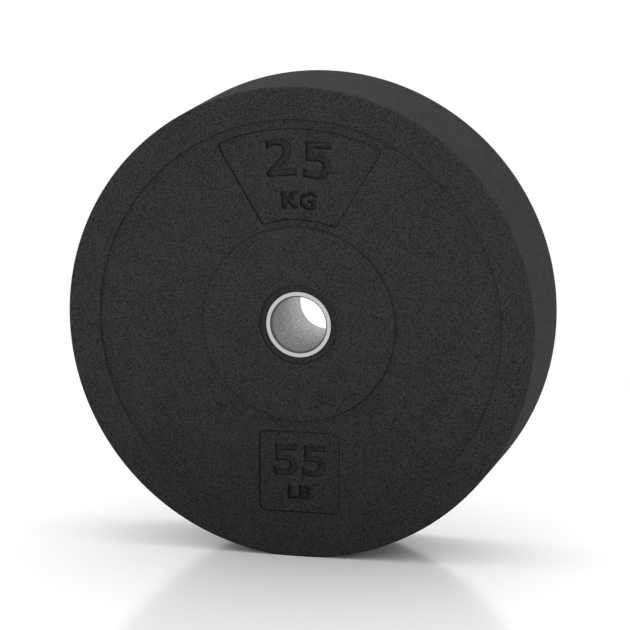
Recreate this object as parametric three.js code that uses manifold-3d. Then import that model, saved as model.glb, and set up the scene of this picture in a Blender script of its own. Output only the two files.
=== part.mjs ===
// Bumper plate: a thick disc of moulded crumb rubber round a steel insert.
// Millimetres. The plate turns about Y, its front face looks along -Y, and +Z is up.
// The origin is the centre of the plate. The back face is the front face turned half a turn about Z.

import * as THREE from 'three';
import { mergeVertices } from 'three/addons/utils/BufferGeometryUtils.js';
import Module from 'manifold-3d';

const wasm = await Module();
wasm.setup();

// Rubber disc
const plateDiameter = 450;
const plateThickness = 111;
const treadDraft = 0.1;
const footDepth = 0.65;
const rimEdgeRadius = 2;
const rimBandWidth = 30.7;
const hubDiameter = 185.2;
const webRecess = 2.2;
const stepRun = 0.4;
const seatDiameter = 74.9;
const seatDepth = 1.5;

// Steel insert
const boreDiameter = 52;
const mouthDiameter = 55.3;
const mouthDepth = 3;
const sleeveDiameter = 62.6;
const sleeveEdgeChamfer = 0.5;

// Anchor disc welded to the sleeve inside the rubber
const anchorDiameter = 124;
const anchorThickness = 6;
const flowHoleCount = 8;
const flowHoleDiameter = 15;
const flowCircleDiameter = 98;
const weldLeg = 5;

// Weight panel above the hub
const weightPanelOuterRadius = 185.4;
const weightPanelInnerRadius = 99.3;
const weightPanelApexHeight = 34;
const weightPanelSideAngle = THREE.MathUtils.degToRad(30.75);
const weightPanelOuterCorner = 4;
const weightPanelInnerCorner = 3;
const panelDepth = 1.5;

// Square panel below the hub
const squarePanelWidth = 78;
const squarePanelCorner = 7;
const squarePanelDrop = 142.7;

// Engraved weight markings
const engravingDepth = 3;
const kiloFigureHeight = 35;
const kiloFigureBaseline = 138.5;
const kiloFigureGap = 5.9;
const kiloUnitHeight = 16.2;
const kiloUnitBaseline = 109;
const kiloUnitGap = 0.5;
const kiloFigureTilt = THREE.MathUtils.degToRad(6);
const kiloUnitTilt = THREE.MathUtils.degToRad(3.8);
const poundFigureHeight = 30;
const poundFigureGap = 5;
const poundUnitHeight = 13;
const poundUnitGap = 1.6;
const poundRowGap = 9;

// Fit between the rubber and the steel, and between the welded pieces
const mouldedClearance = 0.3;

// Cuts reach this far past the surface that they start from
const cutOverrun = 1;

// Sides of the round pieces and steps of the small curves
const rimSides = 72;
const insertSides = 48;
const flowHoleSides = 16;
const edgeSteps = 3;
const curveSteps = 4;

// Outlines of the characters as shares of their height: m starts, l is a straight, c is a Bezier curve.
// Each one starts at its lower left corner, and width is its width as a share of the height.
const twoShares = {
  width: 0.817,
  outline: [
    ['m', 0.043, 0.951],
    ['c', 0.143, 0.986, 0.257, 1, 0.371, 1],
    ['c', 0.6, 1, 0.743, 0.9, 0.743, 0.729],
    ['c', 0.743, 0.586, 0.643, 0.457, 0.534, 0.354],
    ['l', 0.343, 0.177],
    ['l', 0.817, 0.177],
    ['l', 0.817, 0],
    ['l', 0, 0],
    ['l', 0, 0.131],
    ['l', 0.263, 0.363],
    ['c', 0.4, 0.486, 0.497, 0.571, 0.497, 0.703],
    ['c', 0.497, 0.8, 0.429, 0.843, 0.326, 0.843],
    ['c', 0.229, 0.843, 0.129, 0.8, 0.043, 0.737],
  ],
};
const fiveShares = {
  width: 0.76,
  outline: [
    ['m', 0.069, 1],
    ['l', 0.754, 1],
    ['l', 0.754, 0.82],
    ['l', 0.283, 0.82],
    ['l', 0.283, 0.634],
    ['c', 0.329, 0.643, 0.366, 0.646, 0.4, 0.646],
    ['c', 0.623, 0.646, 0.76, 0.529, 0.76, 0.337],
    ['c', 0.76, 0.129, 0.6, 0, 0.329, 0],
    ['c', 0.214, 0, 0.1, 0.02, 0, 0.057],
    ['l', 0, 0.274],
    ['c', 0.1, 0.217, 0.214, 0.186, 0.32, 0.186],
    ['c', 0.457, 0.186, 0.54, 0.246, 0.54, 0.343],
    ['c', 0.54, 0.437, 0.463, 0.491, 0.329, 0.491],
    ['c', 0.243, 0.491, 0.157, 0.477, 0.069, 0.457],
  ],
};
const kShares = {
  width: 1.03,
  outline: [
    ['m', 0, 0],
    ['l', 0.3, 0],
    ['l', 0.3, 0.468],
    ['l', 0.675, 0],
    ['l', 1.03, 0],
    ['l', 0.59, 0.519],
    ['l', 0.985, 1],
    ['l', 0.655, 1],
    ['l', 0.3, 0.57],
    ['l', 0.3, 1],
    ['l', 0, 1],
  ],
};
const gShares = {
  width: 1,
  outline: [
    ['m', 1, 0.917],
    ['c', 0.874, 0.997, 0.726, 1.04, 0.554, 1.04],
    ['c', 0.222, 1.04, 0, 0.831, 0, 0.517],
    ['c', 0, 0.197, 0.222, 0, 0.572, 0],
    ['c', 0.726, 0, 0.837, 0.025, 0.936, 0.061],
    ['l', 0.936, 0.584],
    ['l', 0.474, 0.584],
    ['l', 0.474, 0.394],
    ['l', 0.677, 0.394],
    ['l', 0.677, 0.185],
    ['c', 0.64, 0.176, 0.603, 0.173, 0.572, 0.173],
    ['c', 0.382, 0.173, 0.264, 0.308, 0.264, 0.523],
    ['c', 0.264, 0.738, 0.388, 0.867, 0.572, 0.867],
    ['c', 0.726, 0.867, 0.861, 0.812, 1, 0.702],
  ],
};
const lShares = {
  width: 0.7,
  outline: [
    ['m', 0, 0],
    ['l', 0.7, 0],
    ['l', 0.7, 0.209],
    ['l', 0.278, 0.209],
    ['l', 0.278, 1],
    ['l', 0, 1],
  ],
};
const bShares = {
  width: 0.92,
  outline: [
    ['m', 0, 0],
    ['l', 0.54, 0],
    ['c', 0.79, 0, 0.92, 0.11, 0.92, 0.29],
    ['c', 0.92, 0.42, 0.85, 0.5, 0.73, 0.53],
    ['c', 0.83, 0.57, 0.88, 0.64, 0.88, 0.74],
    ['c', 0.88, 0.91, 0.76, 1, 0.52, 1],
    ['l', 0, 1],
  ],
  holes: [
    [
      ['m', 0.27, 0.19],
      ['l', 0.27, 0.42],
      ['l', 0.5, 0.42],
      ['c', 0.68, 0.42, 0.68, 0.19, 0.5, 0.19],
    ],
    [
      ['m', 0.27, 0.61],
      ['l', 0.27, 0.81],
      ['l', 0.49, 0.81],
      ['c', 0.64, 0.81, 0.64, 0.61, 0.49, 0.61],
    ],
  ],
};

// Sizes that follow from the ones above
const plateRadius = plateDiameter / 2;
const halfThickness = plateThickness / 2;
const hubRadius = hubDiameter / 2;
const webOuterRadius = plateRadius - rimBandWidth;
const webFace = halfThickness - webRecess;
const panelFloor = webFace - panelDepth;
const engravingFloor = panelFloor - engravingDepth;
const sleeveRadius = sleeveDiameter / 2;
const boreRadius = boreDiameter / 2;
const anchorRadius = anchorDiameter / 2;
const anchorHalf = anchorThickness / 2;
const flowHoleRadius = flowHoleDiameter / 2;
const flowCircleRadius = flowCircleDiameter / 2;
const steelWallRadius = sleeveRadius + mouldedClearance;
const weldStart = anchorHalf + mouldedClearance;
const weldFaceClearance = mouldedClearance * Math.SQRT2;

// Closed meshes and solids

function mergedGeometry(geometry) {
  const bare = geometry.clone();
  bare.deleteAttribute('normal');
  bare.deleteAttribute('uv');
  const merged = mergeVertices(bare);
  const corners = merged.index.array;
  const kept = [];
  for (let i = 0; i < corners.length; i += 3) {
    const [a, b, c] = [corners[i], corners[i + 1], corners[i + 2]];
    if (a !== b && b !== c && c !== a) kept.push(a, b, c);
  }
  merged.setIndex(kept);
  return merged;
}

function solidOf(geometry) {
  const merged = mergedGeometry(geometry);
  return new wasm.Manifold(new wasm.Mesh({
    numProp: 3,
    vertProperties: new Float32Array(merged.attributes.position.array),
    triVerts: new Uint32Array(merged.index.array),
  }));
}

function geometryOf(solid) {
  const mesh = solid.getMesh();
  const geometry = new THREE.BufferGeometry();
  geometry.setAttribute('position', new THREE.BufferAttribute(mesh.vertProperties, mesh.numProp));
  geometry.setIndex(new THREE.BufferAttribute(mesh.triVerts, 1));
  geometry.computeVertexNormals();
  return geometry;
}

// A body turned about Y from [radius, y] points. Its sides touch the stated radii at their middles,
// and one side faces each way along X and Z.
function turnedGeometry(points, sides) {
  const cornerShare = 1 / Math.cos(Math.PI / sides);
  const profile = points.map(([radius, y]) => new THREE.Vector2(radius * cornerShare, y));
  return new THREE.LatheGeometry(profile, sides, Math.PI / sides);
}

function mirroredProfile(frontPoints) {
  const backPoints = frontPoints.map(([radius, y]) => [radius, -y]).reverse();
  return [...frontPoints, ...backPoints];
}

// A flat outline in X and Z, cut into both faces from floor outwards
function faceCut(shape, floor) {
  const depth = halfThickness + cutOverrun - floor;
  const front = new THREE.ExtrudeGeometry(shape, { depth, bevelEnabled: false, curveSegments: curveSteps });
  front.rotateX(Math.PI / 2);
  front.translate(0, -floor, 0);
  const back = front.clone();
  back.rotateZ(Math.PI);
  return solidOf(front).add(solidOf(back));
}

// Rubber disc

function edgeArc(centreRadius, centreFace) {
  const points = [];
  for (let step = 0; step <= edgeSteps; step += 1) {
    const angle = (Math.PI / 2) * (step / edgeSteps);
    points.push([
      centreRadius + rimEdgeRadius * Math.sin(angle),
      centreFace - rimEdgeRadius * Math.cos(angle),
    ]);
  }
  return points;
}

// The tread is widest at its middle, where the mould's halves meet, and falls by its draft to each edge
function rubberBlank() {
  const front = [
    [0, seatDepth - halfThickness],
    [seatDiameter / 2, seatDepth - halfThickness],
    [seatDiameter / 2, -halfThickness],
    [hubRadius, -halfThickness],
    [hubRadius + stepRun, -webFace],
    [webOuterRadius - stepRun, -webFace],
    [webOuterRadius, -halfThickness],
    ...edgeArc(plateRadius - treadDraft - rimEdgeRadius, rimEdgeRadius - halfThickness),
    [plateRadius, 0],
  ];
  return solidOf(turnedGeometry(mirroredProfile(front), rimSides));
}

// What the floor takes off the tread, where the plate's weight presses it flat
function footCut() {
  const slabLength = plateThickness + 2 * cutOverrun;
  const slab = new THREE.BoxGeometry(plateDiameter, slabLength, footDepth + cutOverrun);
  slab.translate(0, 0, (footDepth - cutOverrun) / 2 - plateRadius);
  return solidOf(slab);
}

// The space that the steel insert takes up, with its clearance
function insertSpace() {
  const coneFoot = weldStart + weldLeg + weldFaceClearance;
  const front = [
    [0, -halfThickness - cutOverrun],
    [steelWallRadius, -halfThickness - cutOverrun],
    [steelWallRadius, -coneFoot],
    [steelWallRadius + weldLeg + weldFaceClearance, -weldStart],
    [anchorRadius + mouldedClearance, -weldStart],
  ];
  return solidOf(turnedGeometry(mirroredProfile(front), insertSides));
}

function aroundFlowCircle(geometry) {
  const solids = [];
  for (let index = 0; index < flowHoleCount; index += 1) {
    const angle = (2 * Math.PI * (index + 1 / 2)) / flowHoleCount;
    const copy = geometry.clone();
    copy.translate(flowCircleRadius * Math.cos(angle), 0, flowCircleRadius * Math.sin(angle));
    solids.push(solidOf(copy));
  }
  return solids.reduce((all, solid) => all.add(solid));
}

// Rubber that flowed through the holes of the anchor disc
function flowPins() {
  const radius = flowHoleRadius - mouldedClearance;
  const length = anchorThickness + 2 * (mouldedClearance + cutOverrun);
  return aroundFlowCircle(new THREE.CylinderGeometry(radius, radius, length, flowHoleSides));
}

// One rounded corner between a straight side and an arc about the plate's axis
function panelCorner(cornerRadius, centreDistance) {
  const along = new THREE.Vector2(Math.sin(weightPanelSideAngle), Math.cos(weightPanelSideAngle));
  const inward = new THREE.Vector2(-along.y, along.x);
  const start = new THREE.Vector2(0, weightPanelApexHeight).addScaledVector(inward, cornerRadius);
  const lean = start.dot(along);
  const reach = Math.sqrt(lean * lean - start.lengthSq() + centreDistance * centreDistance) - lean;
  return start.addScaledVector(along, reach);
}

function weightPanelShape() {
  const outer = panelCorner(weightPanelOuterCorner, weightPanelOuterRadius - weightPanelOuterCorner);
  const inner = panelCorner(weightPanelInnerCorner, weightPanelInnerRadius + weightPanelInnerCorner);
  const side = -weightPanelSideAngle;
  const shape = new THREE.Shape();
  shape.absarc(inner.x, inner.y, weightPanelInnerCorner, inner.angle() - Math.PI, side, false);
  shape.absarc(outer.x, outer.y, weightPanelOuterCorner, side, outer.angle(), false);
  shape.absarc(0, 0, weightPanelOuterRadius, outer.angle(), Math.PI - outer.angle(), false);
  shape.absarc(-outer.x, outer.y, weightPanelOuterCorner, Math.PI - outer.angle(), Math.PI - side, false);
  shape.absarc(-inner.x, inner.y, weightPanelInnerCorner, Math.PI - side, 2 * Math.PI - inner.angle(), false);
  shape.absarc(0, 0, weightPanelInnerRadius, Math.PI - inner.angle(), inner.angle(), true);
  return shape;
}

function squarePanelShape() {
  const half = squarePanelWidth / 2;
  const straight = half - squarePanelCorner;
  const shape = new THREE.Shape();
  shape.absarc(straight, -squarePanelDrop + straight, squarePanelCorner, 0, Math.PI / 2, false);
  shape.absarc(-straight, -squarePanelDrop + straight, squarePanelCorner, Math.PI / 2, Math.PI, false);
  shape.absarc(-straight, -squarePanelDrop - straight, squarePanelCorner, Math.PI, 1.5 * Math.PI, false);
  shape.absarc(straight, -squarePanelDrop - straight, squarePanelCorner, 1.5 * Math.PI, 2 * Math.PI, false);
  return shape;
}

// Engraved characters

function drawnPath(path, steps, place) {
  for (const [kind, ...shares] of steps) {
    const points = [];
    for (let i = 0; i < shares.length; i += 2) points.push(place(shares[i], shares[i + 1]));
    const [first, second, third] = points;
    if (kind === 'm') path.moveTo(first.x, first.y);
    if (kind === 'l') path.lineTo(first.x, first.y);
    if (kind === 'c') path.bezierCurveTo(first.x, first.y, second.x, second.y, third.x, third.y);
  }
  path.closePath();
  return path;
}

function characterShape(shares, height, left, baseline, tilt) {
  const corner = new THREE.Vector2(left, baseline);
  const place = (x, y) => {
    const point = new THREE.Vector2(left + x * height, baseline + y * height);
    return point.rotateAround(corner, tilt);
  };
  const shape = drawnPath(new THREE.Shape(), shares.outline, place);
  shape.holes = (shares.holes ?? []).map((hole) => drawnPath(new THREE.Path(), hole, place));
  return shape;
}

// A pair of characters centred above or below the bore, with the first one tilted
function pairShapes(first, second, height, gap, baseline, tilt) {
  const width = (first.width + second.width) * height + gap;
  const secondLeft = width / 2 - second.width * height;
  return [
    characterShape(first, height, -width / 2, baseline, tilt),
    characterShape(second, height, secondLeft, baseline, 0),
  ];
}

function markingShapes() {
  const poundBlock = poundFigureHeight + poundRowGap + poundUnitHeight;
  const poundUnitBaseline = -squarePanelDrop - poundBlock / 2;
  const poundFigureBaseline = poundUnitBaseline + poundUnitHeight + poundRowGap;
  return [
    ...pairShapes(twoShares, fiveShares, kiloFigureHeight, kiloFigureGap, kiloFigureBaseline, kiloFigureTilt),
    ...pairShapes(kShares, gShares, kiloUnitHeight, kiloUnitGap, kiloUnitBaseline, kiloUnitTilt),
    ...pairShapes(fiveShares, fiveShares, poundFigureHeight, poundFigureGap, poundFigureBaseline, 0),
    ...pairShapes(lShares, bShares, poundUnitHeight, poundUnitGap, poundUnitBaseline, 0),
  ];
}

function rubberBody() {
  let body = rubberBlank().subtract(footCut()).subtract(insertSpace()).add(flowPins());
  for (const panel of [weightPanelShape(), squarePanelShape()]) {
    body = body.subtract(faceCut(panel, panelFloor));
  }
  for (const character of markingShapes()) {
    body = body.subtract(faceCut(character, engravingFloor));
  }
  return geometryOf(body);
}

// Steel insert

function insertSleeve() {
  const front = [
    [boreRadius, mouthDepth - halfThickness],
    [mouthDiameter / 2, -halfThickness],
    [sleeveRadius - sleeveEdgeChamfer, -halfThickness],
    [sleeveRadius, sleeveEdgeChamfer - halfThickness],
  ];
  const profile = mirroredProfile(front);
  return turnedGeometry([...profile, profile[0]], insertSides);
}

function anchorDisc() {
  const section = [
    [steelWallRadius, -anchorHalf],
    [anchorRadius, -anchorHalf],
    [anchorRadius, anchorHalf],
    [steelWallRadius, anchorHalf],
    [steelWallRadius, -anchorHalf],
  ];
  const hole = new THREE.CylinderGeometry(
    flowHoleRadius,
    flowHoleRadius,
    anchorThickness + 2 * cutOverrun,
    flowHoleSides,
  );
  return geometryOf(solidOf(turnedGeometry(section, insertSides)).subtract(aroundFlowCircle(hole)));
}

// A fillet weld in the corner between the sleeve and one side of the disc
function anchorWeld() {
  const section = [
    [steelWallRadius, weldStart],
    [steelWallRadius + weldLeg, weldStart],
    [steelWallRadius, weldStart + weldLeg],
    [steelWallRadius, weldStart],
  ];
  return turnedGeometry(section, insertSides);
}

// Finishes

const crumbRubber = { color: 0x323233, roughness: 0.9, metalness: 0 };
const turnedSteel = { color: 0xc4c4c4, roughness: 0.35, metalness: 1 };
const plainSteel = { color: 0x6f7072, roughness: 0.6, metalness: 1 };
const weldMetal = { color: 0x85807a, roughness: 0.5, metalness: 1 };

function piece(name, geometry, finish) {
  const mesh = new THREE.Mesh(geometry, new THREE.MeshStandardMaterial(finish));
  mesh.name = name;
  return mesh;
}

const frontWeld = piece('anchor_weld_front', anchorWeld(), weldMetal);
const rearWeld = piece('anchor_weld_rear', anchorWeld(), weldMetal);
frontWeld.rotation.z = Math.PI;

const insert = new THREE.Group();
insert.add(
  piece('insert_sleeve', insertSleeve(), turnedSteel),
  piece('anchor_disc', anchorDisc(), plainSteel),
  frontWeld,
  rearWeld,
);

const bumperPlate = new THREE.Group();
bumperPlate.add(piece('rubber_body', rubberBody(), crumbRubber), insert);

export default bumperPlate;
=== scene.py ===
import math

import bpy
from mathutils import Matrix, Vector
from mathutils.geometry import delaunay_2d_cdt


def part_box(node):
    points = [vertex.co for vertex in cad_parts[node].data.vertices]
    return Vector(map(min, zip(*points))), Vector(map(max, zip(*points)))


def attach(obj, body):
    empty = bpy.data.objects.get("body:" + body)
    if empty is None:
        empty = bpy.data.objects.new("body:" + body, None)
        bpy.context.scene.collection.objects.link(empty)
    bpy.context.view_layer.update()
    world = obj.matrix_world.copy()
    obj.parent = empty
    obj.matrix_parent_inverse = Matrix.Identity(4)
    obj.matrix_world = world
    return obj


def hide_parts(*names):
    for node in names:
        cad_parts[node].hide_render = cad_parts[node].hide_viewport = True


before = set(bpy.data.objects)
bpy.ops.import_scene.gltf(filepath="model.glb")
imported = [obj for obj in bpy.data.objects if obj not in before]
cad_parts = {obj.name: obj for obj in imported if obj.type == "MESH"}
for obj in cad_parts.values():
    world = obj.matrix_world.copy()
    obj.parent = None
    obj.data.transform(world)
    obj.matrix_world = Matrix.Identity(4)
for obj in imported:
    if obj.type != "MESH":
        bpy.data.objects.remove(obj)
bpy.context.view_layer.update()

bl_info = {
    "name": "Bumper Plate",
    "version": (1, 0, 0),
    "blender": (4, 5, 0),
    "location": "3D View > Sidebar > Bumper Plate",
    "description": "Builds a crumb rubber bumper plate with a steel insert, and a plain studio",
    "category": "Add Mesh",
}

# The plate's axis is Y, its front face looks along -Y and +Z is up. Lengths are in metres.
RUBBER_LOW, RUBBER_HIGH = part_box("rubber_body")
SLEEVE_LOW, SLEEVE_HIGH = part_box("insert_sleeve")
ANCHOR_LOW, ANCHOR_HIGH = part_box("anchor_disc")
WELD_LOW, WELD_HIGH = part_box("anchor_weld_rear")

# Straights in a rounding, in a cut's rounding, in a panel's corner, in the upper and the lower
# edge of the weight panel, round a flow hole, the rubber in it, a weld and the floor, and in the
# slope of a weld
ROUND_STEPS = 5
CUT_STEPS = 4
CORNER_STEPS = 8
UPPER_STEPS = 48
LOWER_STEPS = 24
HOLE_SIDES = 45
PIN_SIDES = 40
WELD_SIDES = 720
FLOOR_SIDES = 96
WELD_STEPS = 10
# A character's curve has one straight for every CURVE_STEP of the character's height, and no
# fewer than CURVE_LEAST
CURVE_STEP = 0.004
CURVE_LEAST = 4

# Support points stand this far from a rounding of the rubber
SUPPORT_STRIP = 0.0003
# Width of the ledge between a step and the flat beside it, in roundings
LEDGE = 4
# How far the middle of a weld ripple runs ahead of its ends, as an angle of its wave
RIPPLE_BOW = 2.2
# The longest mitre, as a multiple of the offset
MITRE_LIMIT = 1.3
# Nearer than this, two points are one. A shorter sum of two directions has no direction.
SAME_POINT = 1e-7
NO_DIRECTION = 1e-9
FILL_TOLERANCE = 1e-8
# The kind of fill that keeps what lies inside an outline
INSIDE_ONLY = 1

# Outline of each character, and its holes, as shares of its height from the lower left corner:
# m is the start, l a straight and c a Bezier curve
CHARACTERS = {
    "two": (
        """m 0.043 0.951, c 0.143 0.986 0.257 1 0.371 1, c 0.6 1 0.743 0.9 0.743 0.729,
        c 0.743 0.586 0.643 0.457 0.534 0.354, l 0.343 0.177, l 0.817 0.177, l 0.817 0, l 0 0,
        l 0 0.131, l 0.263 0.363, c 0.4 0.486 0.497 0.571 0.497 0.703,
        c 0.497 0.8 0.429 0.843 0.326 0.843, c 0.229 0.843 0.129 0.8 0.043 0.737""",
    ),
    "five": (
        """m 0.069 1, l 0.754 1, l 0.754 0.82, l 0.283 0.82, l 0.283 0.634,
        c 0.329 0.643 0.366 0.646 0.4 0.646, c 0.623 0.646 0.76 0.529 0.76 0.337,
        c 0.76 0.129 0.6 0 0.329 0, c 0.214 0 0.1 0.02 0 0.057, l 0 0.274,
        c 0.1 0.217 0.214 0.186 0.32 0.186, c 0.457 0.186 0.54 0.246 0.54 0.343,
        c 0.54 0.437 0.463 0.491 0.329 0.491, c 0.243 0.491 0.157 0.477 0.069 0.457""",
    ),
    "k": (
        """m 0 0, l 0.3 0, l 0.3 0.468, l 0.675 0, l 1.03 0, l 0.59 0.519, l 0.985 1, l 0.655 1,
        l 0.3 0.57, l 0.3 1, l 0 1""",
    ),
    "g": (
        """m 1 0.917, c 0.874 0.997 0.726 1.04 0.554 1.04, c 0.222 1.04 0 0.831 0 0.517,
        c 0 0.197 0.222 0 0.572 0, c 0.726 0 0.837 0.025 0.936 0.061, l 0.936 0.584,
        l 0.474 0.584, l 0.474 0.394, l 0.677 0.394, l 0.677 0.185,
        c 0.64 0.176 0.603 0.173 0.572 0.173, c 0.382 0.173 0.264 0.308 0.264 0.523,
        c 0.264 0.738 0.388 0.867 0.572 0.867, c 0.726 0.867 0.861 0.812 1 0.702""",
    ),
    "l": ("m 0 0, l 0.7 0, l 0.7 0.209, l 0.278 0.209, l 0.278 1, l 0 1",),
    "b": (
        """m 0 0, l 0.54 0, c 0.79 0 0.92 0.11 0.92 0.29, c 0.92 0.42 0.85 0.5 0.73 0.53,
        c 0.83 0.57 0.88 0.64 0.88 0.74, c 0.88 0.91 0.76 1 0.52 1, l 0 1""",
        "m 0.27 0.19, l 0.27 0.42, l 0.5 0.42, c 0.68 0.42 0.68 0.19 0.5 0.19",
        "m 0.27 0.61, l 0.27 0.81, l 0.49 0.81, c 0.64 0.81 0.64 0.61 0.49 0.61",
    ),
}


def amount(name, description, default, **kind):
    return bpy.props.FloatProperty(name=name, description=description, default=default, **kind)


def length(name, description, default):
    return amount(name, description, default, unit="LENGTH")


def angle(name, description, degrees):
    return amount(name, description, math.radians(degrees), subtype="ANGLE")


def count(name, description, default):
    return bpy.props.IntProperty(name=name, description=description, default=default, min=3)


def colour(name, description, default):
    return bpy.props.FloatVectorProperty(
        name=name, description=description, default=default, subtype="COLOR", size=3, min=0, max=1
    )


class RubberSizes(bpy.types.PropertyGroup):
    """Sizes of the moulded rubber disc"""

    diameter: length("Diameter", "Across the tread", RUBBER_HIGH.x - RUBBER_LOW.x)
    thickness: length("Thickness", "From face to face", RUBBER_HIGH.y - RUBBER_LOW.y)
    tread_draft: length("Tread draft", "Fall of the tread from its middle to each edge", 0.0001)
    rim_edge: length("Rim edge", "Rounding between tread and rim band", 0.002)
    rim_band: length("Rim band", "Width of the raised band at the rim", 0.0307)
    hub_diameter: length("Hub diameter", "Across the raised hub", 0.1852)
    web_recess: length("Web recess", "Depth of the web below the rim and hub", 0.0022)
    step_run: length("Step run", "How far the wall of a step leans", 0.0004)
    seat_diameter: length("Seat diameter", "Across the shallow ring round the insert", 0.0749)
    seat_depth: length("Seat depth", "Depth of that ring", 0.0015)
    step_round: length("Step rounding", "Rounding at the top of a step", 0.0003)
    step_fillet: length("Step fillet", "Rounding at the foot of a step", 0.0003)
    clearance: length("Clearance", "Gap between rubber and steel", 0.0003)
    # Shares of painted shade on the walls of the rim band, the hub and the seat ring. On the rim
    # band's wall it fades out below the bore, where that wall faces up into the light
    rim_shade: amount("Rim crease", "Share of binder on the wall of the rim band", 0.3)
    rim_shade_fade: length("Clean rim", "How far below the bore that wall is free of binder", 0.15)
    hub_shade: amount("Hub crease", "Share of binder on the wall of the hub", 0.35)
    seat_shade: amount("Seat crease", "Share of binder on the wall of the seat ring", 0.65)
    sides: count("Sides", "Divisions round the disc", 360)


class PanelSizes(bpy.types.PropertyGroup):
    """Sizes of the two recessed panels and their markings"""

    depth: length("Panel depth", "Depth of a panel below the web", 0.0015)
    outer_radius: length("Outer radius", "Upper edge of the weight panel", 0.1854)
    inner_radius: length("Inner radius", "Lower edge of the weight panel", 0.0993)
    apex: length("Apex", "Height where the sides of the weight panel would meet", 0.034)
    side_angle: angle("Side angle", "Lean of the sides of the weight panel", 30.75)
    outer_corner: length("Upper corners", "Corner radius at the upper edge", 0.004)
    inner_corner: length("Lower corners", "Corner radius at the lower edge", 0.003)
    square_width: length("Square width", "Side of the square panel", 0.078)
    square_corner: length("Square corners", "Corner radius of the square panel", 0.007)
    square_drop: length("Square drop", "Distance of the square panel below the bore", 0.1427)
    engraving: length("Engraving", "Depth of a marking below its panel", 0.003)
    kilo_height: length("Kilo figures", "Height of the kilogram figures", 0.035)
    kilo_baseline: length("Kilo baseline", "Height of their baseline above the bore", 0.1385)
    kilo_gap: length("Kilo gap", "Gap between the two figures", 0.0059)
    kilo_tilt: angle("Kilo tilt", "Tilt of the first figure", 6)
    kilo_unit_height: length("Kilo unit", "Height of the unit", 0.0162)
    kilo_unit_baseline: length("Kilo unit baseline", "Height of its baseline above the bore", 0.109)
    kilo_unit_gap: length("Kilo unit gap", "Gap between its letters", 0.0005)
    kilo_unit_tilt: angle("Kilo unit tilt", "Tilt of its first letter", 3.8)
    pound_height: length("Pound figures", "Height of the pound figures", 0.03)
    pound_gap: length("Pound gap", "Gap between the two figures", 0.005)
    pound_unit_height: length("Pound unit", "Height of the unit", 0.013)
    pound_unit_gap: length("Pound unit gap", "Gap between its letters", 0.0016)
    pound_row_gap: length("Pound rows", "Gap between the figures and the unit", 0.009)
    cut_round: length("Cut rounding", "Rounding at the top of a cut", 0.00025)
    cut_fillet: length("Cut fillet", "Rounding at the foot of a cut", 0.00025)
    cut_draft: length("Cut draft", "How far the wall of a cut leans", 0.0001)
    cut_margin: length("Cut margin", "Strip beside each rounding", 0.0003)
    marking_fineness: amount("Marking fineness", "Its roundings as a share of a panel's", 0.5)
    # Shares of painted shade on the walls of a panel and of a marking
    panel_shade: amount("Panel crease", "Share of binder on the wall of a panel", 0.75)
    marking_shade: amount("Marking crease", "Share of binder on the wall of a marking", 0.7)


class InsertSizes(bpy.types.PropertyGroup):
    """Sizes of the steel insert"""

    sleeve_diameter: length("Sleeve", "Outside of the sleeve", SLEEVE_HIGH.x - SLEEVE_LOW.x)
    bore_diameter: length("Bore diameter", "Bore for the bar", 0.052)
    mouth_diameter: length("Mouth diameter", "Bore at the end face", 0.0553)
    mouth_depth: length("Mouth depth", "Depth of the lead-in", 0.003)
    lip_round: length("Lip rounding", "Rounding at the outer edge of the end face", 0.0005)
    mouth_round: length("Mouth rounding", "Rounding where the lead-in starts", 0.00025)
    anchor_round: length("Anchor rounding", "Broken edges of the anchor disc", 0.0003)
    flow_holes: count("Flow holes", "Holes in the anchor disc", 8)
    flow_diameter: length("Flow hole diameter", "Size of one hole", 0.015)
    flow_circle: length("Flow circle", "Diameter of the circle of holes", 0.098)
    weld_leg: length("Weld leg", "Side of the fillet weld", WELD_HIGH.y - WELD_LOW.y)
    weld_ripples: count("Weld ripples", "Ripples round one weld", 72)
    weld_ripple_depth: length("Ripple depth", "Depth of one ripple", 0.0003)
    sides: count("Sides", "Divisions round the sleeve and the anchor disc", 180)


class PlateColours(bpy.types.PropertyGroup):
    """Colours of the finishes, of painted shade in inner corners and in the bore, and of the floor
    """

    rubber_dark: colour("Rubber", "The dark crumbs", (0.0035, 0.0035, 0.0035))
    cool_crumb: colour("Cool crumbs", "Light crumbs that lean to blue", (0.0563, 0.0609, 0.0649))
    warm_crumb: colour("Warm crumbs", "Light crumbs that lean to brown", (0.0622, 0.0609, 0.0587))
    # Painted shade: the rubber is darkened towards this colour in the inner corners of its steps,
    # panels and markings, where shade falls
    painted_shade: colour("Binder", "The binder that gathers in creases", (0.003, 0.003, 0.003))
    faced_steel: colour("Faced steel", "End faces of the sleeve", (0.56, 0.56, 0.557))
    bore_steel: colour("Bore steel", "The drawn bore", (0.7, 0.7, 0.7))
    bore_dark: colour("Bore grit", "Dark grit in the bore", (0.34, 0.34, 0.34))
    # Painted shade: the colour that the bore darkens to at its mouths
    mouth_shade: colour("Mouth", "Dirt at the mouths of the bore", (0.07, 0.07, 0.07))
    plate_steel: colour("Plate steel", "Mill scale on the anchor disc", (0.11, 0.115, 0.125))
    plate_bloom: colour("Plate bloom", "Paler bloom on it", (0.242, 0.253, 0.275))
    weld: colour("Weld", "Straw heat tint of the welds", (0.3, 0.27, 0.235))
    weld_blue: colour("Weld blue", "Blue heat tint of the welds", (0.12, 0.14, 0.19))
    floor: colour("Floor", "The studio floor", (1.0, 1.0, 1.0))
    near_bounce: colour("Near bounce", "Light given back beside the plate", (0.0, 0.0, 0.0))
    far_bounce: colour("Far bounce", "Light given back farther off", (1.0, 1.0, 1.0))


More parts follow.
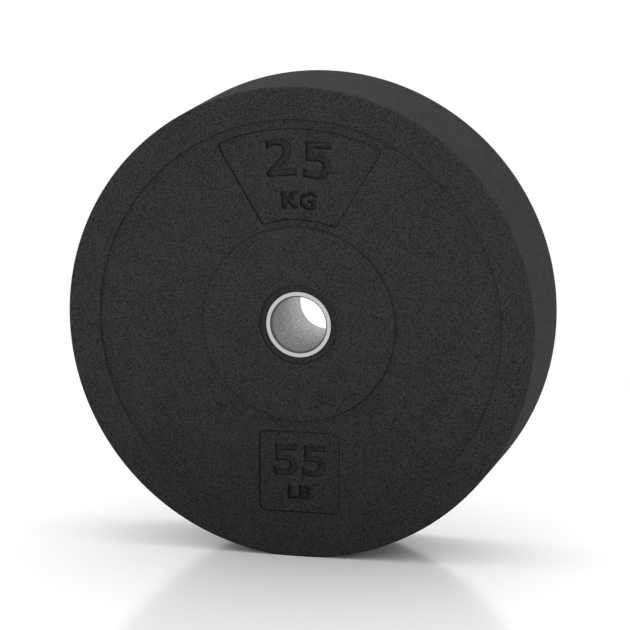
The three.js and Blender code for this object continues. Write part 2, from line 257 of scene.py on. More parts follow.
class GrainSettings(bpy.types.PropertyGroup):
    """Scales of the patterns in the finishes, per metre, and the heights of their reliefs"""

    crumbs: amount("Crumbs", "Crumbs of the rubber", 2650.0)
    specks: amount("Specks", "Fine specks on the crumbs", 4500.0)
    clouds: amount("Clouds", "Broad changes of the rubber's tone", 28.0)
    tints: amount("Tints", "Cool and warm patches of the rubber", 300.0)
    grit: amount("Grit", "Grit in the bore", 1400.0)
    mill_scale: amount("Mill scale", "Patches of scale on the anchor disc", 90.0)
    flecks: amount("Flecks", "Flecks on the anchor disc", 700.0)
    heat: amount("Heat tint", "Straw and blue patches of the welds", 60.0)
    soot: amount("Soot", "Dull and bright spots of the welds", 500.0)
    rubber_relief: length("Rubber relief", "Height of the rubber's relief", 0.0004)
    steel_relief: length("Steel relief", "Height of the steel's relief", 0.0001)


class StudioSettings(bpy.types.PropertyGroup):
    """Camera, softbox, floor and world"""

    azimuth: angle("Azimuth", "Camera to the right of the plate's axis", 14.21)
    elevation: angle("Elevation", "Camera above the plate's axis", 11.86)
    distance: length("Distance", "Camera to its target", 3.849)
    target_x: length("Target X", "Point that the camera looks at", 0.00194)
    target_z: length("Target Z", "Point that the camera looks at", -0.00187)
    view_angle: angle("View angle", "Width of the camera's view", 8.8835)
    floor_radius: length("Floor radius", "Radius of the studio floor", 4.0)
    floor_gloss: amount("Floor gloss", "Roughness of the floor's shine", 0.15)
    bounce_start: length("Bounce start", "Where the floor starts to give light back", 0.22)
    bounce_end: length("Bounce end", "Where it gives back all of it", 0.4)
    floor_fade_start: length("Fade start", "Where the floor starts to fade to white", 0.4)
    floor_fade_end: length("Fade end", "Where the floor is white", 0.75)
    world_light: amount("World light", "Strength of the even light", 1.0)
    softbox_back: length("Softbox back", "Softbox behind the plate's middle", 0.25)
    softbox_height: length("Softbox height", "Softbox above the bore", 1.9)
    softbox_width: length("Softbox width", "Side of the square softbox", 1.6)
    softbox_power: amount("Softbox power", "Power of the softbox", 10.0, unit="POWER")


# Outlines


def bezier_points(start, first, second, end, steps):
    points = []
    for step in range(1, steps + 1):
        t = step / steps
        s = 1 - t
        points.append(
            s * s * s * start + 3 * s * s * t * first + 3 * s * t * t * second + t * t * t * end
        )
    return points


def drawn(path, place, steps):
    """Points of a path of m, l and c parts, placed by a function"""
    points = []
    for part in path.split(","):
        kind, *numbers = part.split()
        shares = [float(number) for number in numbers]
        places = [place(x, y) for x, y in zip(shares[::2], shares[1::2])]
        points += bezier_points(points[-1], *places, steps) if kind == "c" else places
    if (points[0] - points[-1]).length < SAME_POINT:
        points.pop()
    return points


def arc(centre, radius, start, end, steps):
    return [
        centre + radius * Vector((math.cos(a), math.sin(a)))
        for a in (start + (end - start) * step / steps for step in range(steps + 1))
    ]


def area(points):
    following = points[1:] + points[:1]
    return sum(p.x * q.y - q.x * p.y for p, q in zip(points, following)) / 2


def turned_left(points, left=True):
    """The same closed outline, running anticlockwise if left is true and clockwise if not"""
    return points if (area(points) > 0) == left else points[::-1]


def offset(points, distance):
    """The closed outline moved to the left of its direction, with its corners mitred"""
    moved = []
    for index, point in enumerate(points):
        before = (point - points[index - 1]).normalized()
        after = (points[(index + 1) % len(points)] - point).normalized()
        left = Vector((-before.y, before.x))
        normal = Vector((-before.y - after.y, before.x + after.x))
        if normal.length < NO_DIRECTION:
            normal = left.copy()
        normal.normalize()
        stretch = 1 / max(normal.dot(left), 1 / MITRE_LIMIT)
        moved.append(point + normal * distance * stretch)
    return moved


def rounded(corners, margin, closed=False):
    """Corners of (x, y, rounding), and a share of painted shade where there is one, made into
    points
    with shares of painted shade: an arc at each rounding, and a support point at each side of it. A
    support point has the share of its corner times that of the next corner on its side."""
    points = []
    last = len(corners) - 1
    shade_shares = [corner[3] if len(corner) > 3 else 0.0 for corner in corners]
    for index, (x, y, radius, *_) in enumerate(corners):
        corner = Vector((x, y))
        shade_share = shade_shares[index]
        if radius == 0 or (not closed and index in (0, last)):
            points.append((corner, shade_share))
            continue
        following = (index + 1) % len(corners)
        before = Vector(corners[index - 1][:2])
        after = Vector(corners[following][:2])
        way_in = (corner - before).normalized()
        way_out = (after - corner).normalized()
        turn = way_in.angle_signed(way_out)
        reach = radius * math.tan(abs(turn) / 2)
        side = Vector((-way_in.y, way_in.x)) * (1 if turn < 0 else -1)
        centre = corner - way_in * reach + side * radius
        points.append((corner - way_in * (reach + margin), shade_shares[index - 1] * shade_share))
        for step in range(ROUND_STEPS + 1):
            spin = Matrix.Rotation(-turn * step / ROUND_STEPS, 2)
            points.append((centre - spin @ (side * radius), shade_share))
        points.append((corner + way_out * (reach + margin), shade_shares[following] * shade_share))
    return points


def mirrored(corners):
    """The same corners on the other side of the middle plane, in reverse order"""
    return [(x, -y, *rest) for x, y, *rest in reversed(corners)]


# Meshes


class Body:
    """Vertices and faces of one closed body, with loops of vertices as its working parts"""

    def __init__(self):
        self.points = []
        self.shade_shares = []
        self.faces = []

    def loop(self, points, shade_share=0.0):
        start = len(self.points)
        self.points.extend(Vector(p) for p in points)
        self.shade_shares.extend([shade_share] * (len(self.points) - start))
        return list(range(start, len(self.points)))

    def ring(self, radius, y, sides, shade_share=0.0, centre=(0, 0)):
        """A circle of vertices about the plate's axis, or about a centre beside it"""
        across, up = centre
        angles = [2 * math.pi * k / sides for k in range(sides)]
        circle = ((across + radius * math.cos(a), y, up + radius * math.sin(a)) for a in angles)
        return self.loop(circle, shade_share)

    def bridge(self, first, second):
        """Quads between two loops. The second lies to the left of the first, seen from outside."""
        for k, here in enumerate(first):
            following = (k + 1) % len(first)
            self.faces.append((here, first[following], second[following], second[k]))

    def skin(self, loops):
        """Bridges from each loop to the next. Returns the first loop and the last."""
        for first, second in zip(loops, loops[1:]):
            self.bridge(first, second)
        return loops[0], loops[-1]

    def turned(self, profile, sides, closed=False):
        """Rings along a profile of radius and y, and their skin"""
        rings = [self.ring(p.x, p.y, sides, shade_share) for p, shade_share in profile]
        return self.skin(rings + rings[:1] if closed else rings)

    def fill(self, loops, facing):
        """Flat faces between an outer loop and its holes. Facing is -1 towards -Y and 1 towards +Y.
        A triangle that the outer loop alone owns lies in no hole."""
        flat, indices, outlines = [], [], []
        for loop in loops:
            points = [Vector((-facing * self.points[i].x, self.points[i].z)) for i in loop]
            order = [len(flat) + k for k in range(len(loop))]
            outlines.append(order if area(points) > 0 else order[::-1])
            flat += points
            indices += loop
        filled = delaunay_2d_cdt(flat, [], outlines, INSIDE_ONLY, FILL_TOLERANCE)
        _, _, triangles, sources, _, owners = filled
        for triangle, owner in zip(triangles, owners):
            if list(owner) == [0]:
                self.faces.append(tuple(indices[sources[corner][0]] for corner in triangle))

    def made(self, name, material):
        mesh = bpy.data.meshes.new(name)
        mesh.from_pydata([tuple(p) for p in self.points], [], self.faces)
        mesh.update()
        # Each point's share of painted shade, which the rubber's finish reads
        shade = mesh.attributes.new("shade_share", "FLOAT", "POINT")
        shade.data.foreach_set("value", self.shade_shares)
        for face in mesh.polygons:
            face.use_smooth = True
        mesh.materials.append(material)
        piece = bpy.data.objects.new(name, mesh)
        bpy.context.scene.collection.objects.link(piece)
        return piece


def stand(piece, node):
    """The piece stands for a CAD node and rides on the plate"""
    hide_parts(node)
    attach(piece, "root")


def cut_steps(depth, sizes, fineness, shade_share):
    """Offset, drop and share of painted shade of the loops of one cut, from its upper edge to its
    floor
    """
    top, foot = sizes.cut_round * fineness, sizes.cut_fillet * fineness
    draft, margin = sizes.cut_draft * fineness, sizes.cut_margin * fineness
    angles = [math.pi / 2 * step / CUT_STEPS for step in range(CUT_STEPS + 1)]
    loops = [(-top - sizes.cut_margin, 0, 0)]
    for a in angles:
        loops.append((-top * (1 - math.sin(a)), top * (1 - math.cos(a)), shade_share))
    for a in angles:
        loops.append((draft + foot * (1 - math.cos(a)), depth - foot * (1 - math.sin(a)), shade_share))
    loops.append((draft + foot + margin, depth, 0))
    return loops


class FaceCutter:
    """Cuts panels and markings into one face of the rubber. Facing is -1 in front and 1 behind."""

    def __init__(self, body, facing, sizes):
        self.body = body
        self.facing = facing
        self.sizes = sizes

    def loop(self, outline, height, shade_share):
        side = -self.facing
        return self.body.loop(((side * p.x, self.facing * height, p.y) for p in outline), shade_share)

    def cut(self, outline, height, depth, fineness, shade_share):
        """The walls from the surface at that height to the cut's floor. Returns both edges."""
        return self.body.skin([
            self.loop(offset(outline, move), height - drop, share)
            for move, drop, share in cut_steps(depth, self.sizes, fineness, shade_share)
        ])

    def engrave(self, letter, height):
        """One character. Returns the loop that its panel's floor leaves open."""
        sizes = self.sizes
        # A marking's walls take painted shade
        look = sizes.engraving, sizes.marking_fineness, sizes.marking_shade
        outline, *holes = letter
        opening, floor = self.cut(turned_left(outline), height, *look)
        floors = [floor]
        for hole in holes:
            island, foot = self.cut(turned_left(hole, False), height, *look)
            self.body.fill([island], self.facing)
            floors.append(foot)
        self.body.fill(floors, self.facing)
        return opening

    def panel(self, outline, height, letters):
        """A panel with its characters. Returns the loop that the web leaves open."""
        # A panel's walls take painted shade
        depth, shade_share = self.sizes.depth, self.sizes.panel_shade
        opening, floor = self.cut(turned_left(outline), height, depth, 1.0, shade_share)
        holes = [self.engrave(letter, height - depth) for letter in letters]
        self.body.fill([floor, *holes], self.facing)
        return opening


# Panels and markings


def weight_panel(sizes):
    """Outline of the panel above the hub, with two sides that lean out from an apex"""
    lean = sizes.side_angle
    along = Vector((math.sin(lean), math.cos(lean)))
    inward = Vector((-along.y, along.x))

    def corner(radius, distance):
        """Centre of a round corner, at that distance from the plate's axis"""
        start = Vector((0, sizes.apex)) + inward * radius
        part = start.dot(along)
        reach = math.sqrt(part * part - start.length_squared + distance * distance)
        return start + along * (reach - part)

    outer = corner(sizes.outer_corner, sizes.outer_radius - sizes.outer_corner)
    inner = corner(sizes.inner_corner, sizes.inner_radius + sizes.inner_corner)
    outer_angle = math.atan2(outer.y, outer.x)
    inner_angle = math.atan2(inner.y, inner.x)
    right = arc(inner, sizes.inner_corner, inner_angle - math.pi, -lean, CORNER_STEPS)
    right += arc(outer, sizes.outer_corner, -lean, outer_angle, CORNER_STEPS)
    left = [Vector((-p.x, p.y)) for p in reversed(right)]
    axis = Vector((0, 0))
    upper = arc(axis, sizes.outer_radius, outer_angle, math.pi - outer_angle, UPPER_STEPS)
    lower = arc(axis, sizes.inner_radius, math.pi - inner_angle, inner_angle, LOWER_STEPS)
    return right + upper[1:-1] + left + lower[1:-1]


def square_panel(sizes):
    """Outline of the square panel below the hub, with round corners"""
    straight = sizes.square_width / 2 - sizes.square_corner
    drop = Vector((0, sizes.square_drop))
    right_angle = math.pi / 2
    points = []
    for quarter in range(4):
        start = quarter * right_angle
        diagonal = start + right_angle / 2
        spot = Vector((math.cos(diagonal), math.sin(diagonal))) * straight * math.sqrt(2)
        points += arc(spot - drop, sizes.square_corner, start, start + right_angle, CORNER_STEPS)
    return points


def width(name):
    """Width of a character as a share of its height: the end of a part that lies farthest right"""
    return max(float(part.split()[-2]) for part in CHARACTERS[name][0].split(","))


def character(name, height, left, baseline, tilt):
    """Outline and holes of one character on the plate's face"""
    corner = Vector((left, baseline))
    turn = Matrix.Rotation(tilt, 2)
    steps = max(CURVE_LEAST, round(height / CURVE_STEP))

    def place(x, y):
        return corner + turn @ Vector((x * height, y * height))

    return [drawn(path, place, steps) for path in CHARACTERS[name]]


def pair(first, second, height, gap, baseline, tilt):
    """Two characters centred on the plate, the first one tilted"""
    first_width, second_width = width(first) * height, width(second) * height
    half = (first_width + second_width + gap) / 2
    return [
        character(first, height, -half, baseline, tilt),
        character(second, height, half - second_width, baseline, 0),
    ]


def kilo_marking(sizes):
    baseline, unit_baseline = sizes.kilo_baseline, sizes.kilo_unit_baseline
    height, unit_height = sizes.kilo_height, sizes.kilo_unit_height
    figures = pair("two", "five", height, sizes.kilo_gap, baseline, sizes.kilo_tilt)
    unit = pair("k", "g", unit_height, sizes.kilo_unit_gap, unit_baseline, sizes.kilo_unit_tilt)
    return figures + unit


def pound_marking(sizes):
    block = sizes.pound_height + sizes.pound_row_gap + sizes.pound_unit_height
    unit_baseline = -sizes.square_drop - block / 2
    baseline = unit_baseline + sizes.pound_unit_height + sizes.pound_row_gap
    figures = pair("five", "five", sizes.pound_height, sizes.pound_gap, baseline, 0)
    unit = pair("l", "b", sizes.pound_unit_height, sizes.pound_unit_gap, unit_baseline, 0)
    return figures + unit


# Shader maths

WHITE = (1.0, 1.0, 1.0, 1.0)
RAYS_THAT_SHOW = ("Camera", "Glossy", "Transmission")
# Noise keeps mostly between the first two values, and patches change over between the next two
NOISE_LOW, NOISE_HIGH = 0.3, 0.7
PATCH_LOW, PATCH_HIGH = 0.35, 0.65
# A texture's turn about X, Y and Z, so that no flat face lies along its grid
ODD_ANGLES = (0.6, 0.4, 0.9)
# Parts of the crumbs, the specks and the clouds in the rubber's tone, the sums that are darkest
# and lightest, and the part of crumbs and specks in its relief
CRUMB_PART, SPECK_PART, CLOUD_PART = 1.2, 0.6, 0.2
DARK_SUM, LIGHT_SUM = 0.76, 1.24
RELIEF_PART = 0.6
# Distances from the sleeve's end where its faced steel starts and is full, and where painted shade
# stops
FACED_START, FACED_FULL, MOUTH_SHADE_END = 0.0004, 0.0001, 0.010
# Grit is drawn out along the bore, and fades between these distances from the plate's middle
DRAWN_OUT = (1.0, 0.2, 1.0)
GRIT_FULL, GRIT_END = 0.03, 0.05
GRIT_CONTRAST = 3
# Parts of scale and flecks in the bloom of mill scale, and the sums where it starts and is full
SCALE_PART, FLECK_PART = 0.7, 0.3
BLOOM_START, BLOOM_FULL = 0.4, 0.65


class Wire:
    """A socket in a material, so that shader maths reads as an expression"""

    def __init__(self, nodes, socket):
        self.nodes = nodes
        self.socket = socket

    def maths(self, operation, first, second):
        return self.nodes.add("ShaderNodeMath", {"operation": operation}, {0: first, 1: second})

    def __add__(self, other):
        return self.maths("ADD", self, other)

    def __radd__(self, other):
        return self.maths("ADD", other, self)

    def __sub__(self, other):
        return self.maths("SUBTRACT", self, other)

    def __rsub__(self, other):
        return self.maths("SUBTRACT", other, self)

    def __mul__(self, other):
        return self.maths("MULTIPLY", self, other)

    def __rmul__(self, other):
        return self.maths("MULTIPLY", other, self)

    def __abs__(self):
        return self.nodes.add("ShaderNodeMath", {"operation": "ABSOLUTE"}, {0: self})


def opaque(shade):
    """A colour with its alpha, or a wire as it is"""
    return shade if isinstance(shade, Wire) else (*shade, 1.0)


class Nodes:
    """The node tree of one material or world"""

    def __init__(self, owner):
        owner.use_nodes = True
        self.owner = owner
        self.tree = owner.node_tree
        self.tree.nodes.clear()

    def add(self, kind, settings, sockets, out=0):
        """A node: its settings first, then its sockets' values or links. Returns one output."""
        node = self.tree.nodes.new(kind)
        for name, value in settings.items():
            setattr(node, name, value)
        for name, value in sockets.items():
            if isinstance(value, Wire):
                self.tree.links.new(value.socket, node.inputs[name])
            else:
                node.inputs[name].default_value = value
        return Wire(self, node.outputs[out]) if node.outputs else node

    def position(self):
        return self.add("ShaderNodeTexCoord", {}, {}, "Object")

    def noise(self, place, scale, detail, roughness=0.5):
        sockets = {"Vector": place, "Scale": scale, "Detail": detail, "Roughness": roughness}
        return self.add("ShaderNodeTexNoise", {}, sockets, "Fac")

    def crumbs(self, place, scale, out):
        sockets = {"Vector": place, "Scale": scale}
        return self.add("ShaderNodeTexVoronoi", {"feature": "F1"}, sockets, out)

    def between(self, value, low, high, new_low=0.0, new_high=1.0):
        """The value brought from one range to another, and kept inside it"""
        old, new = {"From Min": low, "From Max": high}, {"To Min": new_low, "To Max": new_high}
        return self.add("ShaderNodeMapRange", {}, {"Value": value, **old, **new})

    def uneven(self, noise, low, high):
        """A value that follows a noise between two limits"""
        return self.between(noise, NOISE_LOW, NOISE_HIGH, low, high)

    def mixed(self, factor, first, second):
        """Two colours mixed. Sockets 6 and 7 and output 2 are the node's colours."""
        sockets = {"Factor": factor, 6: opaque(first), 7: opaque(second)}
        return self.add("ShaderNodeMix", {"data_type": "RGBA"}, sockets, 2)

    def tilted(self, place):
        sockets = {"Vector": place, "Rotation": ODD_ANGLES}
        return self.add("ShaderNodeVectorRotate", {"rotation_type": "EULER_XYZ"}, sockets)

    def apart(self, vector, axis):
        """One part of a vector: 0 is X, 1 is Y"""
        return self.add("ShaderNodeSeparateXYZ", {}, {"Vector": vector}, axis)

    def stretched(self, vector, scale):
        return self.add("ShaderNodeVectorMath", {"operation": "MULTIPLY"}, {0: vector, 1: scale})

    def bump(self, height, strength, distance):
        sockets = {"Height": height, "Strength": strength, "Distance": distance}
        return self.add("ShaderNodeBump", {}, sockets)

    def seen(self):
        """1 for rays that show the background: from the camera, reflected, or through glass"""
        rays = [self.add("ShaderNodeLightPath", {}, {}, f"Is {k} Ray") for k in RAYS_THAT_SHOW]
        return self.between(rays[0] + rays[1] + rays[2], 0.0, 1.0)

    def principled(self, sockets):
        return self.add("ShaderNodeBsdfPrincipled", {}, sockets)

    def metal(self, steel, roughness, relief):
        sockets = {"Base Color": steel, "Roughness": roughness, "Normal": relief}
        return self.surface(self.principled({**sockets, "Metallic": 1.0}))

    def blended(self, factor, first, second):
        """Two shaders mixed"""
        return self.add("ShaderNodeMixShader", {}, {"Fac": factor, 1: first, 2: second})

    def surface(self, shader):
        """The material that shows a shader"""
        self.add("ShaderNodeOutputMaterial", {}, {"Surface": shader})
        return self.owner


def new_finish(name):
    return Nodes(bpy.data.materials.new(name))


def crumb_rubber(scene):
    """Bonded rubber crumbs: small dark grains of uneven tone, slightly cool or warm, matt, with a
    fine relief. Painted shade darkens the inner corners of the steps, panels and markings."""
    colours, grain = scene.plate_colours, scene.plate_grain
    nodes = new_finish("crumb_rubber")
    place = nodes.tilted(nodes.position())
    # Each point's share of painted shade, carried by the mesh
    shade_share = nodes.add("ShaderNodeAttribute", {"attribute_name": "shade_share"}, {}, "Fac")
    crumb = nodes.apart(nodes.crumbs(place, grain.crumbs, "Color"), 0)
    specks = nodes.noise(place, grain.specks, detail=1.0)
    clouds = nodes.noise(place, grain.clouds, detail=3.0)
    blend = crumb * CRUMB_PART + specks * SPECK_PART + clouds * CLOUD_PART
    tone = nodes.between(blend, DARK_SUM, LIGHT_SUM)
    patches = nodes.noise(place, grain.tints, detail=2.0, roughness=0.7)
    tint = nodes.between(patches, PATCH_LOW, PATCH_HIGH)
    light = nodes.mixed(tint, colours.cool_crumb, colours.warm_crumb)
    rubber = nodes.mixed(tone, colours.rubber_dark, light)
    edges = nodes.crumbs(place, grain.crumbs, "Distance")
    relief = edges * RELIEF_PART + specks * RELIEF_PART
    # The base colour is darkened towards the painted shade by that share
    return nodes.surface(nodes.principled({
        "Base Color": nodes.mixed(shade_share, rubber, colours.painted_shade),
        "Roughness": nodes.uneven(specks, 0.9, 1.0),
        "Specular IOR Level": 0.09,
        "Normal": nodes.bump(relief, strength=0.5, distance=grain.rubber_relief),
    }))


def sleeve_steel(scene):
    """Faced steel ends, bright and even, and a duller drawn bore with long fine grit, and painted
    shade that darkens the bore towards its mouths"""
    colours, grain = scene.plate_colours, scene.plate_grain
    nodes = new_finish("insert_steel")
    place = nodes.position()
    along = abs(nodes.apart(place, 1))
    end = nodes.between(along, SLEEVE_HIGH.y - FACED_START, SLEEVE_HIGH.y - FACED_FULL)
    # Painted shade: the bore darkens towards both its mouths
    mouth_shade_mask = nodes.between(along, SLEEVE_HIGH.y - MOUTH_SHADE_END, SLEEVE_HIGH.y)
    grit = nodes.noise(nodes.stretched(place, DRAWN_OUT), grain.grit, detail=0.0)
    gritty = nodes.between(along, GRIT_END, GRIT_FULL)
    tone = 0.5 + (grit - 0.5) * GRIT_CONTRAST * gritty
    drawn_steel = nodes.mixed(tone, colours.bore_dark, colours.bore_steel)
    inside = nodes.mixed(mouth_shade_mask * mouth_shade_mask, drawn_steel, colours.mouth_shade)
    steel = nodes.mixed(end, inside, colours.faced_steel)
    relief = nodes.bump(grit, strength=0.1, distance=grain.steel_relief)
    return nodes.metal(steel, 0.6 - 0.2 * end, relief)


def mill_steel(scene):
    """Cut steel plate with mill scale and a little bloom"""
    colours, grain = scene.plate_colours, scene.plate_grain
    nodes = new_finish("anchor_steel")
    place = nodes.position()
    scale = nodes.noise(place, grain.mill_scale, detail=5.0, roughness=0.6)
    flecks = nodes.noise(place, grain.flecks, detail=3.0, roughness=0.6)
    bloom = nodes.between(scale * SCALE_PART + flecks * FLECK_PART, BLOOM_START, BLOOM_FULL)
    steel = nodes.mixed(bloom, colours.plate_steel, colours.plate_bloom)
    relief = nodes.bump(flecks, strength=0.3, distance=grain.steel_relief)
    return nodes.metal(steel, nodes.uneven(flecks, 0.45, 0.7), relief)


def weld_steel(scene):
    """Weld metal with a straw and blue heat tint"""
    colours, grain = scene.plate_colours, scene.plate_grain
    nodes = new_finish("weld_steel")
    place = nodes.position()
    heat = nodes.noise(place, grain.heat, detail=3.0)
    soot = nodes.noise(place, grain.soot, detail=3.0, roughness=0.6)
    straw = nodes.between(heat, PATCH_LOW, PATCH_HIGH)
    steel = nodes.mixed(straw, colours.weld_blue, colours.weld)
    relief = nodes.bump(soot, strength=0.25, distance=grain.steel_relief)
    return nodes.metal(steel, nodes.uneven(soot, 0.3, 0.6), relief)


# Pieces


def flow_centres(insert):
    angles = [2 * math.pi * (k + 0.5) / insert.flow_holes for k in range(insert.flow_holes)]
    return [Vector((math.cos(a), math.sin(a))) * insert.flow_circle / 2 for a in angles]


class PLATE_OT_rubber_body(bpy.types.Operator):
    """Build the rubber disc with its steps, panels and markings"""

    bl_idname = "bumper_plate.rubber_body"
    bl_label = "Rubber body"

    def execute(self, context):
        scene = context.scene
        rubber, panels, insert = scene.plate_rubber, scene.plate_panels, scene.plate_insert
        body = Body()
        front_web, back_web = self.outer_stretch(body, rubber)
        front_hub, back_hub = self.inner_stretch(body, rubber, insert)
        web_height = rubber.thickness / 2 - rubber.web_recess
        for facing, web, hub in ((-1, front_web, front_hub), (1, back_web, back_hub)):
            cutter = FaceCutter(body, facing, panels)
            holes = [
                cutter.panel(weight_panel(panels), web_height, kilo_marking(panels)),
                cutter.panel(square_panel(panels), web_height, pound_marking(panels)),
            ]
            body.fill([web, hub, *holes], facing)
        piece = body.made("moulded_rubber", crumb_rubber(scene))
        stand(piece, "rubber_body")
        return {"FINISHED"}

    def outer_stretch(self, body, rubber):
        """Tread, pressed flat where the plate stands, rim bands and the steps down to both webs.
        Comes first, as it works on every point there is. Returns the front and back web's ring."""
        radius, half = rubber.diameter / 2, rubber.thickness / 2
        web = half - rubber.web_recess
        top = radius - rubber.rim_band
        foot = top - rubber.step_run
        # A corner's fourth value is its share of painted shade
        front = [
            (radius - rubber.tread_draft, -half, rubber.rim_edge),
            (top, -half, rubber.step_round, rubber.rim_shade),
            (foot, -web, rubber.step_fillet, rubber.rim_shade),
            (foot - LEDGE * rubber.step_fillet, -web, 0),
        ]
        profile = mirrored(front) + [(radius, 0, 0)] + front
        back_web, front_web = body.turned(rounded(profile, SUPPORT_STRIP), rubber.sides)
        # Painted shade on the rim band's wall fades out below the bore, as that wall faces up into
        # the light at the bottom; the tread is pressed flat where the plate stands
        for index, point in enumerate(body.points):
            body.shade_shares[index] *= min(max(1 + point.z / rubber.rim_shade_fade, 0), 1)
            point.z = max(point.z, RUBBER_LOW.z)
        return front_web, back_web

    def inner_stretch(self, body, rubber, insert):
        """Hubs, seat rings and the space for the insert. Returns the front and back web's ring."""
        half = rubber.thickness / 2
        web = half - rubber.web_recess
        hub, seat = rubber.hub_diameter / 2, rubber.seat_diameter / 2
        seat_floor = rubber.seat_depth - half
        foot = hub + rubber.step_run
        small = rubber.clearance
        wall = insert.sleeve_diameter / 2 + small
        groove = (ANCHOR_HIGH.y - ANCHOR_LOW.y) / 2 + small
        cone = insert.weld_leg + math.sqrt(2) * small
        rim = (ANCHOR_HIGH.x - ANCHOR_LOW.x) / 2 + small
        # A corner's fourth value is its share of painted shade
        front = [
            (foot + LEDGE * rubber.step_fillet, -web, 0),
            (foot, -web, rubber.step_fillet, rubber.hub_shade),
            (hub, -half, rubber.step_round, rubber.hub_shade),
            ((hub + seat) / 2, -half, 0),
            (seat, -half, rubber.step_round, rubber.seat_shade),
            (seat, seat_floor, rubber.step_fillet / 2, rubber.seat_shade),
            (wall, seat_floor, small),
            (wall, -groove - cone, small),
            (wall + cone, -groove, small),
            (wall + cone + LEDGE * small, -groove, 0),
        ]
        middle = [(rim - LEDGE * small, -groove, 0), (rim, -groove, small)]
        middle += mirrored(middle)
        strip, sides = SUPPORT_STRIP / 2, rubber.sides
        front_hub, front_inner = body.turned(rounded(front, strip), sides)
        front_outer, back_outer = body.turned(rounded(middle, strip), sides)
        back_inner, back_hub = body.turned(rounded(mirrored(front), strip), sides)
        radius = insert.flow_diameter / 2 - small
        fronts, backs = [front_outer, front_inner], [back_outer, back_inner]
        for centre in flow_centres(insert):
            fronts.append(body.ring(radius, -groove, PIN_SIDES, centre=centre))
            backs.append(body.ring(radius, groove, PIN_SIDES, centre=centre))
            body.bridge(backs[-1], fronts[-1])
        body.fill(fronts, 1)
        body.fill(backs, -1)
        return front_hub, back_hub


class PLATE_OT_insert_sleeve(bpy.types.Operator):
    """Build the steel sleeve that lines the bore"""

    bl_idname = "bumper_plate.insert_sleeve"
    bl_label = "Insert sleeve"

    def execute(self, context):
        scene = context.scene
        insert = scene.plate_insert
        half = (SLEEVE_HIGH.y - SLEEVE_LOW.y) / 2
        front = [
            (insert.sleeve_diameter / 2, -half, insert.lip_round),
            (insert.mouth_diameter / 2, -half, insert.mouth_round),
            (insert.bore_diameter / 2, insert.mouth_depth - half, insert.mouth_round * 2),
        ]
        body = Body()
        profile = rounded(front + mirrored(front), insert.mouth_round / 2, closed=True)
        body.turned(profile, insert.sides, closed=True)
        stand(body.made("turned_sleeve", sleeve_steel(scene)), "insert_sleeve")
        return {"FINISHED"}


class PLATE_OT_anchor_disc(bpy.types.Operator):
    """Build the steel disc that anchors the insert in the rubber"""

    bl_idname = "bumper_plate.anchor_disc"
    bl_label = "Anchor disc"

    def execute(self, context):
        scene = context.scene
        insert = scene.plate_insert
        half = (ANCHOR_HIGH.y - ANCHOR_LOW.y) / 2
        rim = (ANCHOR_HIGH.x - ANCHOR_LOW.x) / 2
        wall = insert.sleeve_diameter / 2 + scene.plate_rubber.clearance
        edge = insert.anchor_round
        outer = [(rim - LEDGE * edge, half, 0), (rim, half, edge)]
        inner = [(wall + LEDGE * edge, -half, 0), (wall, -half, edge)]
        body = Body()
        back_rim, front_rim = body.turned(rounded(outer + mirrored(outer), edge), insert.sides)
        front_wall, back_wall = body.turned(rounded(inner + mirrored(inner), edge), insert.sides)
        fronts, backs = [front_rim, front_wall], [back_rim, back_wall]
        hole = insert.flow_diameter / 2
        steps = [(hole + 2 * edge, -half), (hole + edge, -half), (hole, edge - half)]
        steps += [(radius, -y) for radius, y in reversed(steps)]
        for centre in flow_centres(insert):
            loops = [body.ring(radius, y, HOLE_SIDES, centre=centre) for radius, y in steps]
            first, last = body.skin(loops)
            fronts.append(first)
            backs.append(last)
        body.fill(fronts, -1)
        body.fill(backs, 1)
        stand(body.made("flow_disc", mill_steel(scene)), "anchor_disc")
        return {"FINISHED"}


class PLATE_OT_anchor_welds(bpy.types.Operator):
    """Build the two fillet welds between the sleeve and the anchor disc"""

    bl_idname = "bumper_plate.anchor_welds"
    bl_label = "Anchor welds"

    def execute(self, context):
        scene = context.scene
        metal = weld_steel(scene)
        for facing, node in ((-1, "anchor_weld_front"), (1, "anchor_weld_rear")):
            body = self.bead(scene.plate_insert, scene.plate_rubber, facing)
            stand(body.made(node.replace("anchor", "rippled"), metal), node)
        return {"FINISHED"}

    def bead(self, insert, rubber, facing):
        """A fillet whose sloping face dips between its ripples"""
        inner = insert.sleeve_diameter / 2 + rubber.clearance
        foot = (ANCHOR_HIGH.y - ANCHOR_LOW.y) / 2 + rubber.clearance
        leg = insert.weld_leg
        inward = Vector((-1, -1)).normalized()
        body = Body()
        columns = []
        for k in range(WELD_SIDES):
            turn = 2 * math.pi * k / WELD_SIDES
            columns.append((math.cos(turn), math.sin(turn), turn))
        loops = []
        for step in range(WELD_STEPS + 1):
            share = step / WELD_STEPS
            spot = Vector((inner + leg * (1 - share), foot + leg * share))
            bow = RIPPLE_BOW * math.cos(math.pi * (share - 0.5))
            points = []
            for across, up, turn in columns:
                swing = turn * insert.weld_ripples + bow
                dip = insert.weld_ripple_depth * math.sin(math.pi * share) * (1 + math.cos(swing))
                place = spot + inward * dip
                points.append((place.x * across, facing * place.y, place.x * up))
            loops.append(body.loop(points))
        root = ((inner * across, facing * foot, inner * up) for across, up, _ in columns)
        loops.append(body.loop(root))
        order = loops[::-1] if facing > 0 else loops
        body.skin(order + order[:1])
        return body


# Studio


def aimed(piece, target):
    piece.rotation_euler = (target - piece.location).to_track_quat("-Z", "Y").to_euler()


